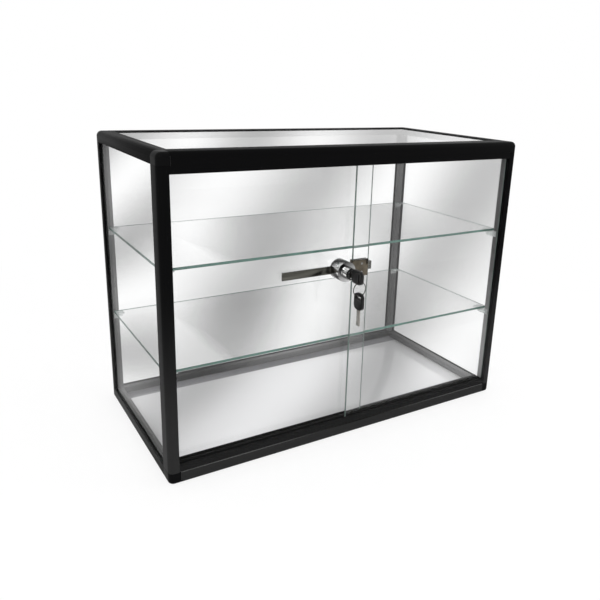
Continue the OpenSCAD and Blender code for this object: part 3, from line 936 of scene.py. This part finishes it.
def screw_tree(name):
    """Geometry nodes that put a countersunk cross-head screw on every point, turned as the point says"""
    lengths = ("Head radius", "Head height", "Shank radius", "Length", "Recess width", "Recess depth")
    inputs = {"Places": "Geometry", **dict.fromkeys(lengths, "Float"), "Finish": "Material"}
    tree, source, last = new_group(name, "Geometry", inputs, {"Screws": "Geometry"})

    head = add_node(tree, "GeometryNodeMeshCone", {
        "Vertices": 32,
        "Radius Bottom": source["Head radius"],
        "Radius Top": source["Shank radius"],
        "Depth": source["Head height"],
    })
    bar_depth = work_out(tree, "MULTIPLY", source["Recess depth"], 2.0)
    bars = []
    for along, across in ("XY", "YX"):
        size = add_node(tree, "ShaderNodeCombineXYZ", {
            along: source["Head radius"], across: source["Recess width"], "Z": bar_depth,
        })
        bar = add_node(tree, "GeometryNodeMeshCube", {"Size": size.outputs["Vector"]})
        bars.append(bar.outputs["Mesh"])
    cut_head = add_node(
        tree, "GeometryNodeMeshBoolean",
        {"Mesh 1": head.outputs["Mesh"], "Mesh 2": join(tree, bars), "Self Intersection": True},
        solver="EXACT", operation="DIFFERENCE",
    )

    shank_len = work_out(tree, "SUBTRACT", source["Length"], source["Head height"])
    shank = add_node(tree, "GeometryNodeMeshCylinder", {
        "Vertices": 24, "Radius": source["Shank radius"], "Depth": shank_len,
    })
    shank_middle = work_out(tree, "MULTIPLY_ADD", shank_len, 0.5, source["Head height"])
    lift = add_node(tree, "ShaderNodeCombineXYZ", {"Z": shank_middle})
    raised = add_node(tree, "GeometryNodeTransform", {
        "Geometry": shank.outputs["Mesh"], "Translation": lift.outputs["Vector"],
    })

    turn = add_node(tree, "GeometryNodeInputNamedAttribute", {"Name": "turn"}, data_type="FLOAT_VECTOR")
    rotation = add_node(tree, "FunctionNodeEulerToRotation", {"Euler": turn.outputs["Attribute"]})
    spread = add_node(tree, "GeometryNodeInstanceOnPoints", {
        "Points": source["Places"],
        "Instance": join(tree, (cut_head.outputs["Mesh"], raised.outputs["Geometry"])),
        "Rotation": rotation.outputs["Rotation"],
    })
    real = add_node(tree, "GeometryNodeRealizeInstances", {"Geometry": spread.outputs["Instances"]})
    painted = add_node(tree, "GeometryNodeSetMaterial", {
        "Geometry": real.outputs["Geometry"], "Material": source["Finish"],
    })
    set_inputs(tree, last, {"Screws": painted.outputs["Geometry"]})
    return tree


def place_mesh(name, places):
    """A mesh of loose points, each with a turn, from (position, turn) pairs"""
    mesh = bpy.data.meshes.new(name)
    mesh.from_pydata([position for position, _ in places], [], [])
    turns = mesh.attributes.new("turn", "FLOAT_VECTOR", "POINT")
    for index, (_, turn) in enumerate(places):
        turns.data[index].vector = turn
    return mesh


def screw_mesh(name, places, sizes):
    """The screws at the given places, as one plain mesh"""
    tree = shared_group("Countersunk screws", screw_tree)

    def add(carrier):
        modifier = carrier.modifiers.new("Screws", "NODES")
        modifier.node_group = tree
        for socket in tree.interface.items_tree:
            if socket.name in sizes:
                modifier[socket.identifier] = sizes[socket.name]

    return with_modifiers(place_mesh(name, places), add)


def island_boxes(node):
    """The lowest and highest corners of each separate solid in a node"""
    shape = solid_shape(node)
    left = set(shape.verts)
    boxes = []
    while left:
        island = set()
        edge = [left.pop()]
        while edge:
            vertex = edge.pop()
            island.add(vertex)
            near = {link.other_vert(vertex) for link in vertex.link_edges} & left
            left -= near
            edge.extend(near)
        low = Vector([min(vertex.co[axis] for vertex in island) for axis in range(3)])
        high = Vector([max(vertex.co[axis] for vertex in island) for axis in range(3)])
        boxes.append((low, high))
    shape.free()
    return boxes


class DISPLAYCASE_OT_fasteners(bpy.types.Operator):
    """Build the base screws, the track screws and the saddle's set screws"""

    bl_idname = "display_case.build_fasteners"
    bl_label = "Screws"

    def execute(self, context):
        sizes = settings().detail
        upright = Vector((0, 0, 0))
        upside_down = Vector((math.pi, 0, 0))
        mid_height = (CAD_LOW.z + CAD_HIGH.z) / 2
        for node, metal in (("corner_screws", "zinc"), ("track_screws", "black oxide")):
            boxes = island_boxes(node)
            places = []
            for low, high in boxes:
                head_down = node == "corner_screws" or low.z > mid_height
                position = (low + high) / 2
                position.z = low.z if head_down else high.z
                places.append((position, upright if head_down else upside_down))
            low, high = boxes[0]
            head_r = (high.x - low.x) / 2
            screw = {
                "Head radius": head_r,
                "Head height": 0.6 * head_r,
                "Shank radius": 0.54 * head_r,
                "Length": high.z - low.z,
                "Recess width": 0.22 * head_r,
                "Recess depth": sizes.screw_recess,
                "Finish": finish(metal),
            }
            mesh = screw_mesh(node, places, screw)
            place_piece(mesh, f"{node}_piece", "case", [node], [metal])
        rounded_node("saddle_screws", "right_door", "zinc", 0.5 * sizes.fine_edge)
        return {"FINISHED"}


# Lock and keys


def turned_ring(name, axis, outline):
    """A ring turned about a line along Y through a point of the lock, from (radius, y) points"""
    steps = 96
    shape = bmesh.new()
    rings = []
    for step in range(steps):
        angle = math.tau * step / steps
        rings.append([
            shape.verts.new((axis.x + radius * math.cos(angle), y, axis.z + radius * math.sin(angle)))
            for radius, y in outline
        ])
    skin(shape, rings + rings[:1])
    return shape_mesh(shape, name)


class DISPLAYCASE_OT_lock(bpy.types.Operator):
    """Build the ratchet bar, the lock housing, its saddle, its plug and its pawl"""

    bl_idname = "display_case.build_lock"
    bl_label = "Lock"

    def execute(self, context):
        sizes = settings().detail
        rounded_node("ratchet_bar", "left_door", "ratchet steel", sizes.fine_edge)
        rounded_node("bar_pad", "left_door", "rubber", sizes.fine_edge)
        rounded_node("lock_housing", "right_door", "chrome", sizes.lock_edge)
        rounded_node("lock_saddle", "right_door", "smoked chrome", sizes.lock_edge)
        rounded_node("lock_plug", "lock_plug", "chrome", sizes.fine_edge)
        rounded_node("lock_pawl", "lock_pawl", "zinc", sizes.fine_edge)
        self.add_bezel()
        return {"FINISHED"}

    def add_bezel(self):
        """A black ring in the nose's face, around the plug"""
        plug_low, plug_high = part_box("lock_plug")
        nose_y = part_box("lock_housing")[0].y
        plug_r = (plug_high.z - plug_low.z) / 2
        inner = plug_r + 0.4 * MM
        outer = plug_r + 2.3 * MM
        lift = 0.4 * MM
        edge = 0.25 * MM
        outline = (
            (inner, nose_y + lift), (inner, nose_y - lift + edge), (inner + edge, nose_y - lift),
            (outer - edge, nose_y - lift), (outer, nose_y - lift + edge), (outer, nose_y + lift),
        )
        mesh = turned_ring("bezel", (plug_low + plug_high) / 2, outline)
        place_piece(mesh, "lock_bezel", "right_door", [], ["key plastic"])


def split_ring_mesh():
    """A split ring: two turns of wire side by side, joined by a short step"""
    wire = settings().detail.ring_wire
    low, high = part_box("key_ring")
    middle = (low + high) / 2
    radius = (high.z - low.z) / 2 - (high.y - low.y) / 2
    turns, per_turn, around = 2, 96, 10
    step_share = 0.12
    shape = bmesh.new()
    loops = []
    for index in range(turns * per_turn):
        share = index / per_turn
        angle = math.tau * share
        rise = min(1.0, max(0.0, (share - 1 + step_share / 2) / step_share))
        rise = rise * rise * (3 - 2 * rise)
        shift = (2 * rise - 1) * wire
        out = Vector((math.cos(angle), 0, math.sin(angle)))
        centre = middle + radius * out + Vector((0, shift, 0))
        loop = []
        for part in range(around):
            turn = math.tau * part / around
            offset = wire * (math.cos(turn) * out + math.sin(turn) * Vector((0, 1, 0)))
            loop.append(shape.verts.new(centre + offset))
        loops.append(loop)
    skin(shape, loops)
    shape.faces.new(loops[0])
    shape.faces.new(list(reversed(loops[-1])))
    mesh = shape_mesh(shape, "key_ring")
    mesh.shade_smooth()
    return mesh


class DISPLAYCASE_OT_keys(bpy.types.Operator):
    """Build the key in the lock, the split ring and the spare key"""

    bl_idname = "display_case.build_keys"
    bl_label = "Keys"

    def execute(self, context):
        sizes = settings().detail
        for key in ("key", "spare_key"):
            rounded_node(f"{key}_head", key, "key plastic", sizes.head_edge)
            rounded_node(f"{key}_blade", key, "nickel", sizes.fine_edge)
        ring = split_ring_mesh()
        place_piece(ring, "key_ring_piece", "key_ring", ["key_ring"], ["ratchet steel"])
        return {"FINISHED"}


# Stage


def studio_world(stage):
    """A white background and softer light from all round; reflections show a darker front and strips"""
    world = bpy.data.worlds.new("Studio")
    world.use_nodes = True
    tree = world.node_tree
    path = add_node(tree, "ShaderNodeLightPath").outputs
    heading = add_node(tree, "ShaderNodeTexCoord").outputs["Generated"]
    across = coordinate(tree, heading, "X")
    ahead = coordinate(tree, heading, "Y")
    dark_to_light = (-0.75, 0.1)
    front = remap(tree, ahead, dark_to_light, (stage.front_level, 1.0))
    bearing = work_out(tree, "ARCTAN2", across, ahead)
    strips_around = 360 / stage.strip_spacing
    turn = work_out(tree, "MULTIPLY_ADD", bearing, strips_around, math.tau * stage.strip_offset)
    wave = work_out(tree, "COSINE", turn)
    strips = remap(tree, wave, (-1.0, 1.0), (stage.strip_level, stage.strip_peak))
    reflected = work_out(tree, "MULTIPLY", front, strips)
    in_view = work_out(tree, "MAXIMUM", path["Is Camera Ray"], path["Is Transmission Ray"])
    plain = remap(tree, in_view, (0.0, 1.0), (stage.ambient, 1.0))
    level = remap(tree, path["Is Glossy Ray"], (0.0, 1.0), (plain, reflected))
    set_inputs(tree, tree.nodes["Background"], {"Color": grey(1), "Strength": level})
    return world


def pale_floor(tree, place):
    """A pale floor that shows the shadow near the case and is white further out and in the glass"""
    distance = add_node(tree, "ShaderNodeVectorMath", {0: place}, operation="LENGTH").outputs["Value"]
    near_to_far = (0.35, 1.1)
    white_share = (0.78, 1.0)
    whiter = remap(tree, distance, near_to_far, white_share, interpolation_type="SMOOTHSTEP")
    path = add_node(tree, "ShaderNodeLightPath").outputs
    direct = work_out(tree, "MULTIPLY", whiter, path["Is Camera Ray"])
    in_glass = work_out(tree, "MAXIMUM", path["Is Glossy Ray"], path["Is Transmission Ray"])
    share = work_out(tree, "MAXIMUM", direct, in_glass)
    white = add_node(tree, "ShaderNodeEmission", {"Color": grey(1), "Strength": 1.0})
    mix_in(tree, share, white.outputs["Emission"])
    return {"Base Color": grey(0.90), "Roughness": 0.9, "Specular IOR Level": 0.0}


def add_lamp(name, place, target, size, power):
    """A square soft lamp that shines at a point"""
    lamp = bpy.data.lights.new(name, "AREA")
    lamp.shape = "SQUARE"
    lamp.size = size
    lamp.energy = power
    lamp_object = add_object(name, lamp)
    lamp_object.location = place
    lamp_object.rotation_mode = "QUATERNION"
    lamp_object.rotation_quaternion = (Vector(target) - Vector(place)).to_track_quat("-Z", "Y")


class DISPLAYCASE_OT_stage(bpy.types.Operator):
    """Set up the floor, the lamps, the background and the camera"""

    bl_idname = "display_case.build_stage"
    bl_label = "Stage"

    def execute(self, context):
        scene = context.scene
        stage = settings().stage
        scene.view_settings.view_transform = "Standard"
        scene.world = studio_world(stage)
        self.add_floor(stage)
        middle = (0, 0, 0.23)
        add_lamp("Key lamp", place=(-1.3, -1.5, 1.9), target=middle, size=1.6, power=stage.key_power)
        add_lamp("Fill lamp", place=(1.6, -1.0, 1.2), target=middle, size=1.4, power=stage.fill_power)
        self.add_camera(scene, stage)
        return {"FINISHED"}

    def add_floor(self, stage):
        """A wide floor just under the base"""
        half = stage.floor_size / 2
        drop = 0.05 * MM
        mesh = bpy.data.meshes.new("Floor")
        corners = [(-half, -half, -drop), (half, -half, -drop), (half, half, -drop), (-half, half, -drop)]
        mesh.from_pydata(corners, [], [(0, 1, 2, 3)])
        mesh.materials.append(new_material("Pale floor", pale_floor))
        floor = add_object("Floor", mesh)

    def add_camera(self, scene, stage):
        """The camera, in front of the case on the left"""
        camera = bpy.data.cameras.new("Camera")
        camera.sensor_fit = "HORIZONTAL"
        camera.sensor_width = 36
        camera.lens = stage.lens
        camera.shift_x, camera.shift_y = stage.shift
        camera_object = add_object("Camera", camera)
        camera_object.location = stage.eye
        level = math.cos(stage.elevation)
        ahead = Vector((
            math.sin(stage.azimuth) * level,
            math.cos(stage.azimuth) * level,
            -math.sin(stage.elevation),
        ))
        camera_object.rotation_mode = "QUATERNION"
        camera_object.rotation_quaternion = ahead.to_track_quat("-Z", "Y") @ Quaternion((0, 0, 1), stage.roll)
        scene.camera = camera_object


# Panel and registration


class DisplayCaseSettings(bpy.types.PropertyGroup):
    """All the settings of the display case"""

    finish: PointerProperty(type=FinishSettings, name="Finishes", description="Colours of the finishes")
    detail: PointerProperty(type=DetailSettings, name="Details", description="Sizes of the details")
    stage: PointerProperty(type=StageSettings, name="Stage", description="Camera, lamps and floor")


OPERATORS = (
    DISPLAYCASE_OT_frame,
    DISPLAYCASE_OT_glass,
    DISPLAYCASE_OT_fittings,
    DISPLAYCASE_OT_fasteners,
    DISPLAYCASE_OT_lock,
    DISPLAYCASE_OT_keys,
    DISPLAYCASE_OT_stage,
)


class DISPLAYCASE_PT_panel(bpy.types.Panel):
    """The steps that build the display case"""

    bl_idname = "DISPLAYCASE_PT_panel"
    bl_label = "Display case"
    bl_space_type = "VIEW_3D"
    bl_region_type = "UI"
    bl_category = "Display case"

    def draw(self, context):
        for operator in OPERATORS:
            self.layout.operator(operator.bl_idname)
        groups = settings()
        for group in (groups.finish, groups.detail, groups.stage):
            box = self.layout.box()
            for name in group.__annotations__:
                box.prop(group, name)


CLASSES = (
    FinishSettings, DetailSettings, StageSettings, DisplayCaseSettings, *OPERATORS, DISPLAYCASE_PT_panel,
)


def register():
    """Registers the classes and puts the settings on the scene"""
    for item in CLASSES:
        bpy.utils.register_class(item)
    bpy.types.Scene.display_case = PointerProperty(type=DisplayCaseSettings)


def unregister():
    """Takes the settings and the classes away again"""
    del bpy.types.Scene.display_case
    for item in reversed(CLASSES):
        bpy.utils.unregister_class(item)


def main():
    """Builds everything"""
    register()
    for operator in OPERATORS:
        group, name = operator.bl_idname.split(".")
        getattr(getattr(bpy.ops, group), name)()


if __name__ == "__main__":
    main()
